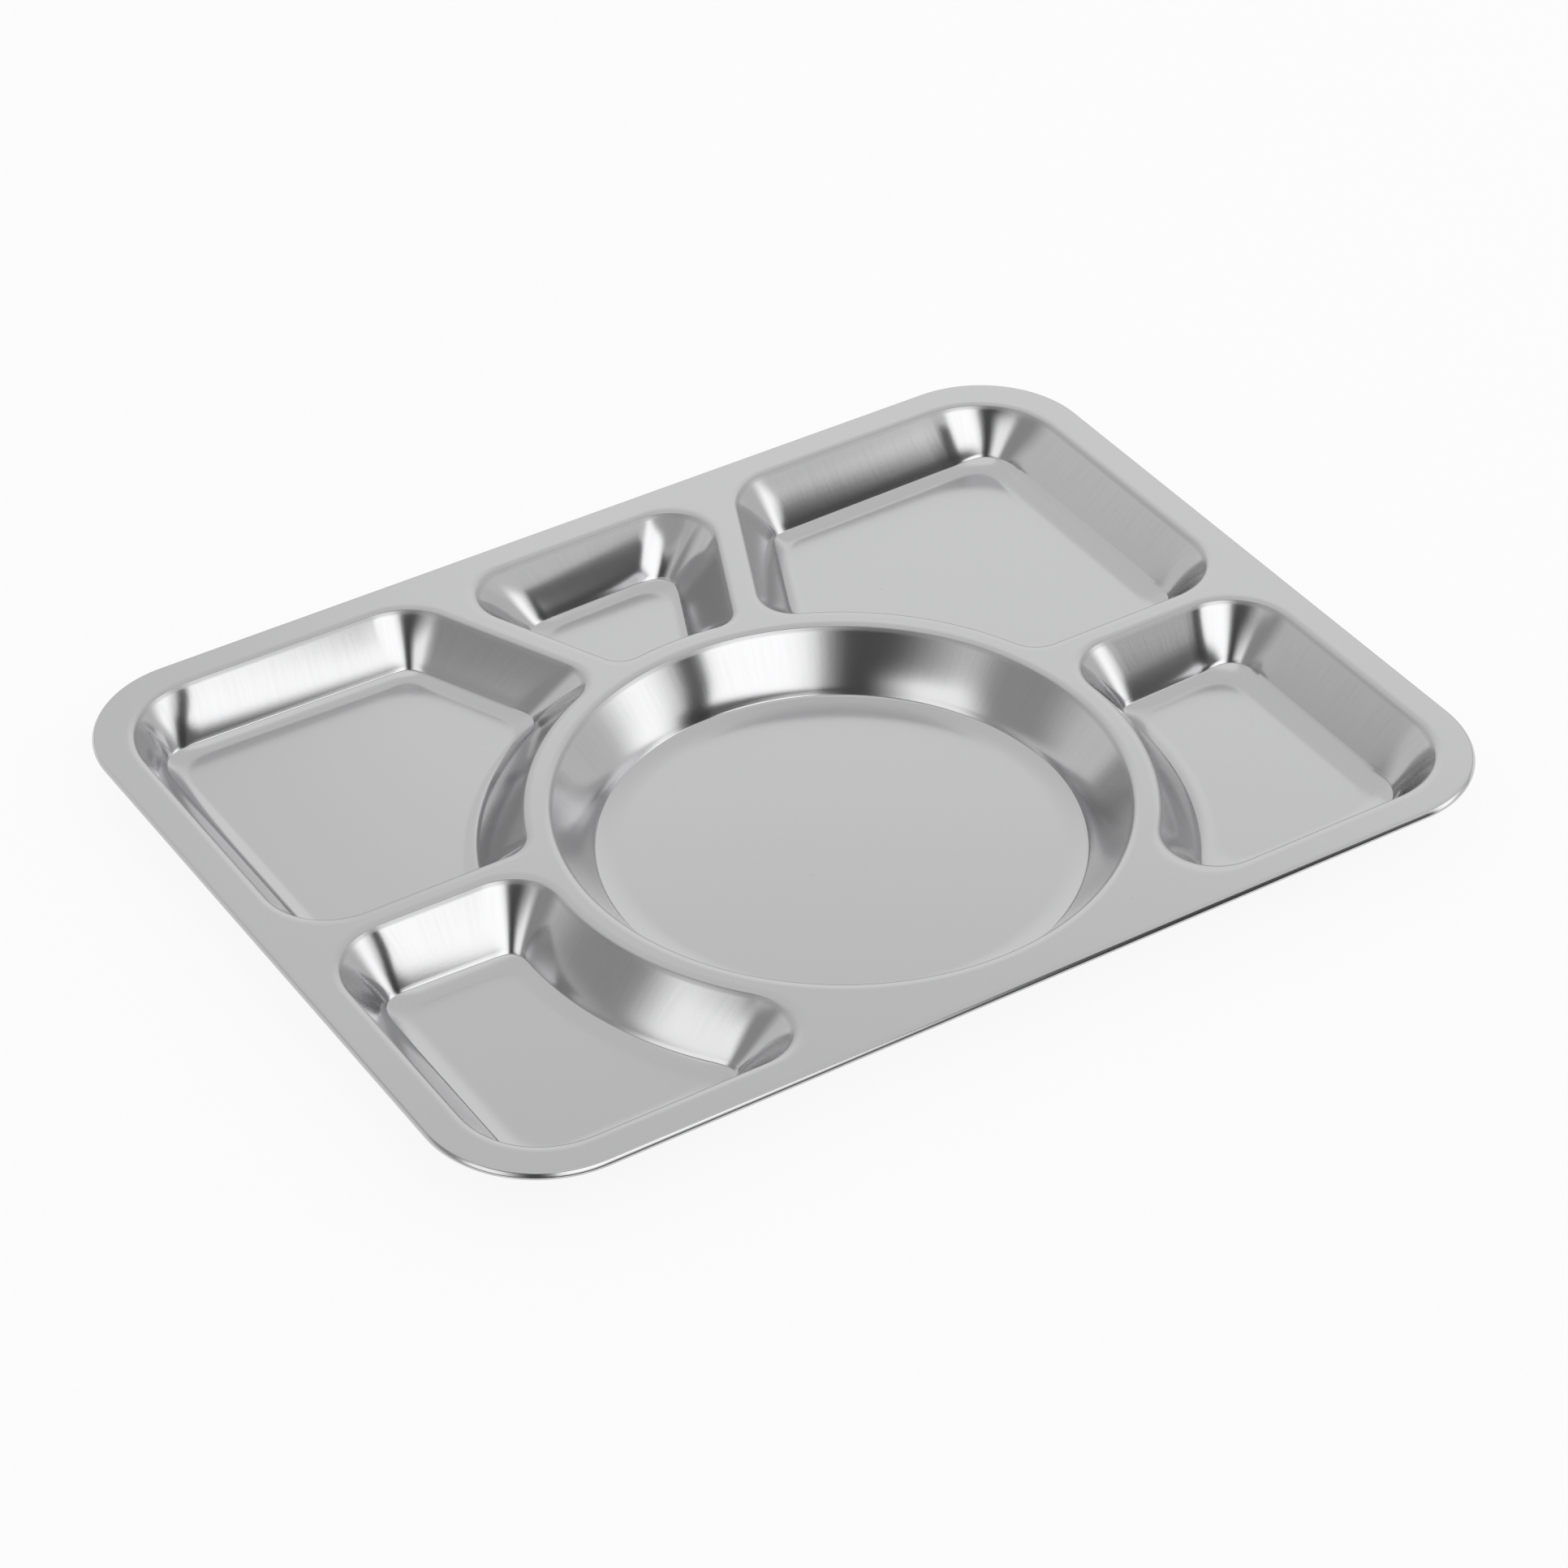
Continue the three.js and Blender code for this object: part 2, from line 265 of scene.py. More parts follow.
class EdgeBesideRoundWell:
    """An edge of a well's mouth that keeps a web to the round well. Its wall may have a form of its own."""

    def __init__(self, web, form=None):
        self.border = ROUND_RADIUS + web
        self.form = form
        self.steps = ARC_STEPS

    def lower_down(self, down_wall):
        return self

    def inward_at(self, place):
        return (place - ROUND_CENTRE).normalized()

    def distance_to(self, place):
        return (place - ROUND_CENTRE).length - self.border

    def between(self, start, end, along):
        first = start - ROUND_CENTRE
        last = end - ROUND_CENTRE
        turn = math.atan2(first.cross(last), first.dot(last))
        return ROUND_CENTRE + Matrix.Rotation(turn * along, 2) @ first


def corner_centre(first, second, distances, start):
    """The point at these distances inside two edges, found by Newton's method."""
    rounds = 12
    centre = start.copy()
    for _ in range(rounds):
        a = first.inward_at(centre)
        b = second.inward_at(centre)
        miss_a = distances[0] - first.distance_to(centre)
        miss_b = distances[1] - second.distance_to(centre)
        scale = a.cross(b)
        centre.x += (miss_a * b.y - miss_b * a.y) / scale
        centre.y += (miss_b * a.x - miss_a * b.x) / scale
    return centre


def corner_points(first, second, insets, radius, ease, start):
    """Points of a round corner, from its first edge to its second.

    Ease makes the corner flatter at its ends and tighter in its middle.
    """
    distances = [inset + radius for inset in insets]
    centre = corner_centre(first, second, distances, start)
    inward, last_inward = first.inward_at(centre), second.inward_at(centre)
    turn = inward.angle(last_inward)
    ahead = Vector((inward.y, -inward.x))
    strides = [Vector((0, 0))]
    for step in range(CORNER_STEPS):
        along = (step + 0.5) / CORNER_STEPS
        heading = turn * (along - ease * math.sin(2 * math.pi * along) / (2 * math.pi))
        strides.append(strides[-1] + Matrix.Rotation(heading, 2) @ ahead)
    size = radius * (inward - last_inward).length / strides[-1].length
    return [centre - radius * inward + size * stride for stride in strides]


class CornerWell:
    """A well between straight and round edges. Each corner follows the edge of the same number."""

    def __init__(self, edges, mouth_corners, foot_corners, middle, sizes):
        self.edges = edges
        self.forms = [edge.form for edge in edges]
        self.mouth_corners = mouth_corners
        self.foot_corners = foot_corners
        self.hold = sizes.corner_hold
        self.ease = sizes.corner_ease
        self.middle = Vector(middle)

    def corner_radius(self, corner, down_wall):
        """A corner goes from the mouth's radius to the foot's down the wall, and keeps that one."""
        mouth_corner, foot_corner = self.mouth_corners[corner], self.foot_corners[corner]
        return mouth_corner + (foot_corner - mouth_corner) * down_wall ** self.hold

    def ring(self, places, down_wall):
        """Points round the well, at one stage of the way down its wall.

        Each edge has its own inset and depth there, and a corner goes from those of one edge to the next.
        """
        edges = [edge.lower_down(down_wall) for edge in self.edges]
        corners = []
        for i, edge in enumerate(edges):
            following = (i + 1) % len(edges)
            insets, depths = zip(places[i], places[following])
            radius = self.corner_radius(i, down_wall)
            ease = self.ease * down_wall
            corner = corner_points(edge, edges[following], insets, radius, ease, self.middle)
            sinking = (depths[1] - depths[0]) / CORNER_STEPS
            heights = [DECK_TOP - depths[0] - sinking * step for step in range(len(corner))]
            corners.append([Vector((*point, height)) for point, height in zip(corner, heights)])
        points = []
        for i, edge in enumerate(edges):
            start, end = corners[i - 1][-1], corners[i][0]
            for step in range(1, edge.steps):
                point = edge.between(start.to_2d(), end.to_2d(), step / edge.steps)
                points.append(Vector((*point, start.z)))
            points += corners[i]
        return points


class MirroredWell:
    """The same well on the other side of the tray, still anticlockwise."""

    def __init__(self, well):
        self.well = well
        self.forms = well.forms

    def ring(self, places, down_wall):
        points = self.well.ring(places, down_wall)
        return [Vector((-point.x, point.y, point.z)) for point in reversed(points)]


class RoundWell:
    """The round well. Its wall has one form all round."""

    forms = [None]

    def ring(self, places, down_wall):
        inset, depth = places[0]
        centre = Vector((*ROUND_CENTRE, DECK_TOP - depth))
        spoke = Vector((ROUND_RADIUS - inset, 0, 0))
        turns = [2 * math.pi * step / CIRCLE_STEPS for step in range(CIRCLE_STEPS)]
        return [centre + Matrix.Rotation(turn, 3, "Z") @ spoke for turn in turns]


# How many degrees the wall at the back of a well turns on its way down
BACK_TURN = -1.0
FRONT_TURN = -2.0
MIDDLE_TURN = 1.7

# Ways along the tray's sides
TO_FRONT = (0, -1)
TO_RIGHT = (1, 0)
TO_LEFT = (-1, 0)


def slanting_web(sizes):
    """The left slanting web: its middle at the back, its way to the front, and half its width as a step."""
    lean = sizes.slant_angle
    slant = Vector((math.sin(lean), -math.cos(lean)))
    half_web = Vector((math.cos(lean), math.sin(lean))) * sizes.slant_web / 2
    return Vector((-sizes.slant_spacing / 2, BACK_MOUTH)), slant, half_web


def side_wells(sizes, side_form=None, front_web_form=None):
    """The back and the front well on the tray's left. Some of their walls may have forms of their own."""
    slant_back, slant, half_web = slanting_web(sizes)
    side_edge = StraightEdge((-SIDE_MOUTH, 0), TO_FRONT, side_form)
    left_middle = (slant_back.x - SIDE_MOUTH) / 2
    back = CornerWell(
        edges=[
            side_edge,
            StraightEdge((0, WEB_BACK), TO_RIGHT),
            EdgeBesideRoundWell(sizes.round_web, "back_beside_round"),
            StraightEdge(slant_back - half_web, -slant),
            StraightEdge((left_middle, BACK_MOUTH), TO_LEFT, foot_turn=BACK_TURN),
        ],
        mouth_corners=[
            sizes.side_web_corner,
            sizes.back_web_corner,
            sizes.back_inner_corner,
            sizes.back_slant_corner,
            sizes.outer_back_corner,
        ],
        foot_corners=[
            sizes.side_web_foot,
            sizes.tight_foot,
            sizes.back_inner_foot,
            sizes.back_slant_foot,
            sizes.outer_foot,
        ],
        middle=(left_middle, (WEB_BACK + BACK_MOUTH) / 2),
        sizes=sizes,
    )
    front = CornerWell(
        edges=[
            side_edge,
            StraightEdge((0, FRONT_MOUTH), TO_RIGHT),
            EdgeBesideRoundWell(sizes.round_web),
            StraightEdge((left_middle, WEB_FRONT), TO_LEFT, front_web_form, FRONT_TURN),
        ],
        mouth_corners=[
            sizes.outer_front_corner,
            sizes.front_inner_corner,
            sizes.front_web_corner,
            sizes.side_web_corner,
        ],
        foot_corners=[
            sizes.outer_foot,
            sizes.front_inner_foot,
            sizes.front_web_foot,
            sizes.side_web_foot,
        ],
        middle=(-(SIDE_MOUTH + ROUND_RADIUS) / 2, (FRONT_MOUTH + WEB_FRONT) / 2),
        sizes=sizes,
    )
    return back, front


def middle_well(sizes):
    """The well between the slanting webs."""
    slant_back, slant, half_web = slanting_web(sizes)
    left = slant_back + half_web
    return CornerWell(
        edges=[
            StraightEdge(left, slant, "middle_slant"),
            EdgeBesideRoundWell(sizes.round_web),
            StraightEdge((-left.x, left.y), (slant.x, -slant.y), "middle_slant"),
            StraightEdge((0, BACK_MOUTH), TO_LEFT, foot_turn=MIDDLE_TURN),
        ],
        mouth_corners=[
            sizes.middle_front_corner,
            sizes.middle_front_corner,
            sizes.middle_back_corner,
            sizes.middle_back_corner,
        ],
        foot_corners=[
            sizes.tight_foot,
            sizes.tight_foot,
            sizes.middle_back_foot,
            sizes.middle_back_foot,
        ],
        middle=(0, (BACK_MOUTH + ROUND_HIGH.y) / 2),
        sizes=sizes,
    )


def corner_wells(sizes):
    """The five wells round the round one, by name."""
    back_left, front_left = side_wells(sizes, front_web_form="front_left_web")
    back_right, front_right = side_wells(sizes, side_form="right_side")
    return {
        "back_left_well": back_left,
        "back_middle_well": middle_well(sizes),
        "back_right_well": MirroredWell(back_right),
        "front_left_well": front_left,
        "front_right_well": MirroredWell(front_right),
    }


def slopes(first, last, steps, lateness=1):
    """Slopes halfway along so many steps. A lateness above 1 keeps them near the first for longer."""
    return [first + (last - first) * ((step + 0.5) / steps) ** lateness for step in range(steps)]


def bend(radius, first, last, steps):
    """Slopes along a bend of this radius from one slope to another, and the length of a step."""
    return slopes(first, last, steps), radius * abs(last - first) / steps


def walk_down(section, tilts, stride):
    """Adds a point to a section for each slope, a stride further on. A point is an inset and a depth."""
    for tilt in tilts:
        inset, depth = section[-1]
        section.append((inset + stride * math.cos(tilt), depth + stride * math.sin(tilt)))


# Form of each well's wall, and of the walls that differ from their well's: slope in degrees at the mouth,
# at the foot and past the crease, how late on its way down it steepens, as a power, and the radius in
# millimetres of the bend into the floor
WALL_FORMS = {
    "round_well": (50, 63, 8, 4, 60),
    "back_left_well": (48.5, 60.5, 28, 1.4, 12),
    "back_middle_well": (45, 61.5, 28, 1.6, 10),
    "back_right_well": (45, 60.5, 28, 1.5, 12),
    "front_left_well": (49, 58.5, 14, 1.8, 28),
    "front_right_well": (49, 59.5, 14, 1.8, 26),
    "back_beside_round": (44, 50, 44, 1.5, 8),
    "right_side": (47, 51, 46, 1.5, 12),
    "front_left_web": (49, 55.5, 20, 1.8, 20),
    "middle_slant": (49, 53, 12, 1.5, 20),
}


def floor_depth(sizes, name):
    """The back wells are a little shallower than the others."""
    return sizes.well_depth - sizes.back_rise if name.startswith("back") else sizes.well_depth


def wall_section(sizes, name, form):
    """Inset and depth of each ring of a wall, from its collar to its floor, and the inset of its foot."""
    *angles, lateness, fillet = WALL_FORMS[form or name]
    top, foot, past_crease = (math.radians(degrees) for degrees in angles)
    droop = slopes(0, sizes.droop_end, DROOP_STEPS), sizes.droop_length / DROOP_STEPS
    mouth = bend(sizes.mouth_bend, sizes.droop_end, top, MOUTH_BEND_STEPS)
    wall = slopes(top, foot, WALL_STEPS, lateness)
    crease = bend(sizes.crease_radius, foot, past_crease, CREASE_STEPS)
    floor = bend(fillet * MM, past_crease, 0, FLOOR_FILLET_STEPS)
    bends = (droop, mouth, crease, floor)
    depth_of_bends = sum(stride * math.sin(tilt) for tilts, stride in bends for tilt in tilts)
    wall_stride = (floor_depth(sizes, name) - depth_of_bends) / sum(math.sin(tilt) for tilt in wall)
    section = [(-COLLAR, 0), (-sizes.droop_start, 0)]
    walk_down(section, *droop)
    walk_down(section, *mouth)
    walk_down(section, wall, wall_stride)
    foot_inset = section[-1][0]
    walk_down(section, *crease)
    walk_down(section, *floor)
    walk_down(section, [0], FLOOR_COLLAR)
    return section, foot_inset


def well_rings(name, well, sizes):
    """A well's rings of points, from its collar to its floor, and the section that most of its wall has."""
    section, foot = wall_section(sizes, name, None)
    edge_sections = [wall_section(sizes, name, form)[0] for form in well.forms]
    rings = []
    for (inset, _), *places in zip(section, *edge_sections):
        down_wall = min(max(inset / foot, 0), 1)
        rings.append(well.ring(places, down_wall))
    return rings, section


def rim_section(sizes):
    """Offset inside the tray's edge, and depth, of each ring of the rim, from the deck outwards."""
    top, foot = sizes.slope_top, sizes.slope_foot
    section = [(0, 0)]
    walk_down(section, *bend(sizes.shoulder_radius, 0, top, SHOULDER_STEPS))
    walk_down(section, slopes(top, foot, SLOPE_STEPS), sizes.slope_length / SLOPE_STEPS)
    walk_down(section, *bend(sizes.roll_radius, foot, sizes.roll_sweep, ROLL_STEPS))
    reach = max(inset for inset, _ in section)
    return [(reach + COLLAR, 0), *((reach - inset, depth) for inset, depth in section)]


def tray_outline(sizes, offset):
    """Outline of the tray at an offset inside its outermost edge."""
    reach = Vector((RIM_HIGH.x - sizes.tray_corner, RIM_HIGH.y - sizes.tray_corner))
    points = []
    for corner, (right, back) in enumerate(((1, 1), (-1, 1), (-1, -1), (1, -1))):
        centre = Vector((right * reach.x, back * reach.y))
        spoke = Vector((sizes.tray_corner - offset, 0))
        for step in range(RIM_CORNER_STEPS + 1):
            turn = (corner + step / RIM_CORNER_STEPS) * math.pi / 2
            points.append(centre + Matrix.Rotation(turn, 2) @ spoke)
    return points


def ring_at(outline, height):
    """An outline's points, all at one height."""
    return [Vector((point.x, point.y, height)) for point in outline]


def place_selected(piece, ring):
    """Moves the selected points, in their order, on to a ring."""
    mesh = bmesh.from_edit_mesh(piece.data)
    chosen = [vertex for vertex in mesh.verts if vertex.select]
    if len(chosen) != len(ring):
        raise RuntimeError(f"{piece.name}: {len(chosen)} points are selected for a ring of {len(ring)}")
    for vertex, place in zip(chosen, ring):
        vertex.co = place
    bmesh.update_edit_mesh(piece.data)


def start_piece(name, ring):
    """A circle with one point for each of the ring's, put into the ring's shape. Stays in edit mode."""
    bpy.ops.object.select_all(action="DESELECT")
    bpy.ops.mesh.primitive_circle_add(vertices=len(ring), radius=ROUND_RADIUS)
    piece = bpy.context.object
    piece.name = name
    piece.data.name = name
    bpy.ops.object.mode_set(mode="EDIT")
    bpy.ops.mesh.select_mode(type="VERT")
    bpy.ops.mesh.select_all(action="SELECT")
    place_selected(piece, ring)
    return piece


def extrude_rings(piece, rings):
    """Extrudes the selected loop through each ring in turn."""
    for ring in rings:
        bpy.ops.mesh.extrude_edges_move()
        place_selected(piece, ring)


def finish_sheet(piece, sizes, material, nodes):
    """Turns the faces up, gives the sheet its thickness below them, and hands the piece to the frame."""
    bpy.ops.mesh.select_all(action="SELECT")
    bpy.ops.mesh.normals_make_consistent(inside=False)
    mesh = bmesh.from_edit_mesh(piece.data)
    largest = max(mesh.faces, key=lambda face: abs(face.normal.z) * face.calc_area())
    if largest.normal.z < 0:
        bpy.ops.mesh.flip_normals()
    bpy.ops.object.mode_set(mode="OBJECT")
    thickness = piece.modifiers.new("sheet", "SOLIDIFY")
    thickness.thickness = sizes.sheet
    thickness.offset = -1
    thickness.use_even_offset = True
    bpy.ops.object.modifier_apply(modifier=thickness.name)
    bpy.ops.object.shade_smooth_by_angle(angle=CRISP_ANGLE)
    piece.data.materials.append(material)
    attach(piece, BODY)
    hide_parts(*nodes)


def unroll(piece, mouth, section):
    """A UV map in metres: across is the way round the mouth, and up is the way down the section.

    The points of a ring follow each other, so a point's number gives its place on the ring and its ring.
    """
    around = [0]
    for place, following in zip(mouth, [*mouth[1:], mouth[0]]):
        around.append(around[-1] + (following - place).length)
    down = [0]
    for place, following in zip(section, section[1:]):
        down.append(down[-1] + math.dist(place, following))
    mesh = bmesh.from_edit_mesh(piece.data)
    unrolled = mesh.loops.layers.uv.new(UNROLLED)
    count = len(mouth)
    for face in mesh.faces:
        columns = [loop.vert.index % count for loop in face.loops]
        closing = len(columns) < count and max(columns) - min(columns) == count - 1
        for loop, column in zip(face.loops, columns):
            if closing and column == 0:
                column = count
            loop[unrolled].uv = (around[column], down[loop.vert.index // count])
    bmesh.update_edit_mesh(piece.data)


def press_well(name, well, sizes, material):
    """A well: a flat collar, the drooping mouth, the wall, the bend at the foot and the floor."""
    rings, section = well_rings(name, well, sizes)
    piece = start_piece(name, rings[0])
    extrude_rings(piece, rings[1:])
    bpy.ops.mesh.edge_face_add()
    unroll(piece, rings[0], section)
    finish_sheet(piece, sizes, material, (f"{name}_wall", f"{name}_floor"))


def add_node(tree, kind, values=None, links=None, **settings):
    """Adds a node with its settings, the values of its inputs, and links from other nodes' outputs."""
    node = tree.nodes.new(kind)
    for key, value in settings.items():
        setattr(node, key, value)
    for key, value in (values or {}).items():
        node.inputs[key].default_value = value
    for key, output in (links or {}).items():
        tree.links.new(output, node.inputs[key])
    return node


def empty_tree(owner):
    """The node tree of a material or world, with nothing in it."""
    owner.use_nodes = True
    owner.node_tree.nodes.clear()
    return owner.node_tree


# Where drawing streaks a wall, where its grain stands out, and where the bend at its mouth gets painted
# shade and more roughness:
# stretches of the way down a well's section, in metres, over which each of them rises and then fades
STREAKS_RISE = (4.5 * MM, 7 * MM)
STREAKS_FADE = (13 * MM, 27 * MM)
GRAIN_RISE = (4 * MM, 6 * MM)
GRAIN_FADE = (27 * MM, 31 * MM)
MOUTH_SHADE_AND_SATIN_RISE = (2.2 * MM, 3.4 * MM)
MOUTH_SHADE_AND_SATIN_FADE = (4.2 * MM, 5.4 * MM)

# Levels of the noise between which a streak darkens
STREAK_LEVELS = (0.4, 0.7)

# How much fine detail each pattern's noise has
GRAIN_DETAIL = 2
ROLL_DETAIL = 1
STREAK_DETAIL = 2


def stretch_mask(tree, way, rise, fade):
    """One between the end of a rise and the start of a fade along a way, and nothing outside them."""
    ramps = []
    for none, full in (rise, reversed(fade)):
        ramp = add_node(
            tree,
            "ShaderNodeMapRange",
            {"From Min": none, "From Max": full},
            {"Value": way},
            interpolation_type="SMOOTHSTEP",
        )
        ramps.append(ramp.outputs["Result"])
    both = add_node(tree, "ShaderNodeMath", links={0: ramps[0], 1: ramps[1]}, operation="MULTIPLY")
    return both.outputs["Value"]


def stretched_noise(tree, place, blotch, detail):
    """Noise whose blotches have these sizes in metres along the place's three axes."""
    scaled = add_node(
        tree,
        "ShaderNodeVectorMath",
        {1: tuple(1 / size for size in blotch)},
        {0: place},
        operation="MULTIPLY",
    )
    noise = add_node(
        tree,
        "ShaderNodeTexNoise",
        {"Scale": 1.0, "Detail": detail},
        {"Vector": scaled.outputs["Vector"]},
    )
    return noise.outputs["Fac"]


def sheet_relief(tree, finish, place, down, streaks, drawn):
    """Fine grain, faint roll marks and the streaks of drawing, one on top of the other."""
    grain = stretched_noise(tree, place, (finish.grain_size,) * 3, GRAIN_DETAIL)
    roll_mark = (finish.roll_length, finish.roll_width, finish.roll_length)
    roll = stretched_noise(tree, place, roll_mark, ROLL_DETAIL)
    stretched = add_node(
        tree,
        "ShaderNodeMapRange",
        {"To Min": finish.flat_grain, "To Max": 1.0},
        {"Value": stretch_mask(tree, down, GRAIN_RISE, GRAIN_FADE)},
    ).outputs["Result"]
    relief = add_node(
        tree, "ShaderNodeBump", {"Distance": finish.grain_height}, {"Strength": stretched, "Height": grain}
    ).outputs["Normal"]
    relief = add_node(
        tree,
        "ShaderNodeBump",
        {"Strength": 1.0, "Distance": finish.roll_height},
        {"Height": roll, "Normal": relief},
    ).outputs["Normal"]
    relief = add_node(
        tree,
        "ShaderNodeBump",
        {"Distance": finish.streak_height},
        {"Strength": drawn, "Height": streaks, "Normal": relief},
    )
    return relief.outputs["Normal"]


def sheet_tone(tree, finish, place, streaks, drawn, mouth_shade_and_satin):
    """The steel's colour, darker in streaks and in specks, with painted shade along the bend at each mouth.
    """
    streak = add_node(
        tree,
        "ShaderNodeMapRange",
        {"From Min": STREAK_LEVELS[0], "From Max": STREAK_LEVELS[1], "To Max": finish.streak_tone},
        {"Value": streaks},
    ).outputs["Result"]
    darker = add_node(
        tree, "ShaderNodeMath", links={0: streak, 1: drawn}, operation="MULTIPLY"
    ).outputs["Value"]
    # Painted shade: the steel is darkened along the bend at each mouth
    painted_mouth_shade = add_node(
        tree, "ShaderNodeMath", {1: finish.painted_mouth_shade_tone}, {0: mouth_shade_and_satin}, operation="MULTIPLY"
    ).outputs["Value"]
    dots = add_node(
        tree, "ShaderNodeTexVoronoi", {"Scale": 1 / finish.speck_spacing}, {"Vector": place}
    ).outputs["Distance"]
    speck_edge = finish.speck_size / finish.speck_spacing
    speck = add_node(
        tree,
        "ShaderNodeMapRange",
        {"From Min": speck_edge, "From Max": speck_edge / 2, "To Max": finish.speck_tone},
        {"Value": dots},
    ).outputs["Result"]
    for other in (painted_mouth_shade, speck):
        darker = add_node(
            tree, "ShaderNodeMath", links={0: darker, 1: other}, operation="MAXIMUM"
        ).outputs["Value"]
    kept = add_node(tree, "ShaderNodeMath", {0: 1.0}, {1: darker}, operation="SUBTRACT").outputs["Value"]
    tone = add_node(tree, "ShaderNodeHueSaturation", {"Color": (*finish.steel, 1)}, {"Value": kept})
    return tone.outputs["Color"]


def stainless_sheet(finish):
    """Cold rolled stainless steel, bright and a little satin, drawn into wells.

    The rolls leave a fine grain, so the edge of a reflection is speckled, and faint marks along the sheet.
    The grain is drawn coarser than it is, so that it shows. Drawing leaves streaks down the upper walls.
    The bend at each mouth is painted darker, as shade, and made rougher. Specks of dust and pitting lie all
    over.
    """
    material = bpy.data.materials.get(FINISH_NAME)
    if material:
        return material
    material = bpy.data.materials.new(FINISH_NAME)
    tree = empty_tree(material)
    place = add_node(tree, "ShaderNodeTexCoord").outputs["Object"]
    unrolled = add_node(tree, "ShaderNodeUVMap", uv_map=UNROLLED).outputs["UV"]
    down = add_node(tree, "ShaderNodeSeparateXYZ", links={0: unrolled}).outputs["Y"]
    drawn = stretch_mask(tree, down, STREAKS_RISE, STREAKS_FADE)
    # Mask of the bend at each mouth, which gets painted shade and extra roughness
    mouth_shade_and_satin = stretch_mask(tree, down, MOUTH_SHADE_AND_SATIN_RISE, MOUTH_SHADE_AND_SATIN_FADE)
    streak = (finish.streak_width, finish.streak_length, 1)
    streaks = stretched_noise(tree, unrolled, streak, STREAK_DETAIL)
    tone = sheet_tone(tree, finish, place, streaks, drawn, mouth_shade_and_satin)
    roughness = add_node(
        tree,
        "ShaderNodeMapRange",
        {"To Min": finish.satin, "To Max": finish.satin + finish.rubbed_satin},
        {"Value": mouth_shade_and_satin},
    ).outputs["Result"]
    relief = sheet_relief(tree, finish, place, down, streaks, drawn)
    steel = add_node(
        tree,
        "ShaderNodeBsdfPrincipled",
        {"Metallic": 1.0},
        {"Base Color": tone, "Roughness": roughness, "Normal": relief},
    )
    add_node(tree, "ShaderNodeOutputMaterial", links={"Surface": steel.outputs["BSDF"]})
    return material


class TRAY_OT_deck(bpy.types.Operator):
    """Cuts the flat deck round the wells' collars and inside the rim's"""

    bl_idname = "tray.deck"
    bl_label = "Deck"

    def execute(self, context):
        sizes = context.scene.tray_sizes
        wells = {"round_well": RoundWell(), **corner_wells(sizes)}
        rim_start = rim_section(sizes)[0][0]
        piece = start_piece("deck_sheet", ring_at(tray_outline(sizes, rim_start), DECK_TOP))
        for name, well in wells.items():
            collar = well_rings(name, well, sizes)[0][0]
            bpy.ops.mesh.select_all(action="DESELECT")
            bpy.ops.mesh.primitive_circle_add(vertices=len(collar), radius=ROUND_RADIUS)
            place_selected(piece, collar)
        bpy.ops.mesh.select_all(action="SELECT")
        bpy.ops.mesh.fill(use_beauty=True)
        finish_sheet(piece, sizes, stainless_sheet(context.scene.tray_finish), ("deck",))
        return {"FINISHED"}


class TRAY_OT_rolled_rim(bpy.types.Operator):
    """Rolls the edge of the sheet outwards, down and under"""

    bl_idname = "tray.rolled_rim"
    bl_label = "Rolled rim"

    def execute(self, context):
        sizes = context.scene.tray_sizes
        section = rim_section(sizes)
        rings = [ring_at(tray_outline(sizes, offset), DECK_TOP - depth) for offset, depth in section]
        piece = start_piece("rolled_edge", rings[0])
        extrude_rings(piece, rings[1:])
        finish_sheet(piece, sizes, stainless_sheet(context.scene.tray_finish), ("rolled_rim",))
        return {"FINISHED"}


class TRAY_OT_round_well(bpy.types.Operator):
    """Presses the round well"""

    bl_idname = "tray.round_well"
    bl_label = "Round well"

    def execute(self, context):
        sizes = context.scene.tray_sizes
        press_well("round_well", RoundWell(), sizes, stainless_sheet(context.scene.tray_finish))
        return {"FINISHED"}


class TRAY_OT_corner_wells(bpy.types.Operator):
    """Presses the five wells round the round one"""

    bl_idname = "tray.corner_wells"
    bl_label = "Corner wells"

    def execute(self, context):
        sizes = context.scene.tray_sizes
        for name, well in corner_wells(sizes).items():
            press_well(name, well, sizes, stainless_sheet(context.scene.tray_finish))
        return {"FINISHED"}


# Lit panels and dark flags round the tray: left, right, low and high edge in degrees, the width of the soft
# strip inside each of those edges, and the brightness. Left and right count from the front, and right is
# positive.
PANELS = {
    "back_light": (90, 205, 6, 44.5, 25, 25, 6, 10.5, 0.98),
    "dim_back": (153.5, 205, 14, 47, 9, 15, 6, 5, 0.82),
    "zenith": (-180, 180, 62, 90, 0, 0, 8, 0, 1.0),
    "dim_top": (-150, 62, 52, 89, 20, 20, 4, 4, 0.5),
    "dim_right": (66, 138, 6, 36, 15, 18, 4, 10, 0.72),
    "dim_horizon": (70, 150, 0, 6, 8, 8, 0, 3, 0.5),
    "dark_horizon": (130, 206, 0, 13, 10, 8, 0, 5, 0.38),
    "grey_left": (-144, -45, 0, 46, 24, 5, 0, 8, 0.38),
    "pale_left": (-144, -92, 42, 64, 32, 6, 6, 6, 0.64),
    "pale_low": (-150, -84, 0, 17, 10, 26, 0, 11, 0.85),
    "dark_front": (-97, -20, 0, 53, 42, 4, 0, 3, 0.08),
    "dark_below": (-22, 44, 0, 25, 2, 4, 0, 3, 0.15),
    "dark_gap": (25.5, 41, 0, 42, 1.5, 6, 0, 1.5, 0.05),
    "key_light": (-36, 28, 23.5, 60, 30, 2, 5, 5, 1.72),
    "fill_light": (36, 76, 8, 44, 17, 19, 5, 8, 1.66),
    "small_light": (-102, -42, 14, 45, 18, 28, 6, 14, 1.4),
}

# Steps of a panel's grid, and how much nearer each panel hangs than the one before, in metres
PANEL_STEPS = 12
PANEL_GAP = 0.02


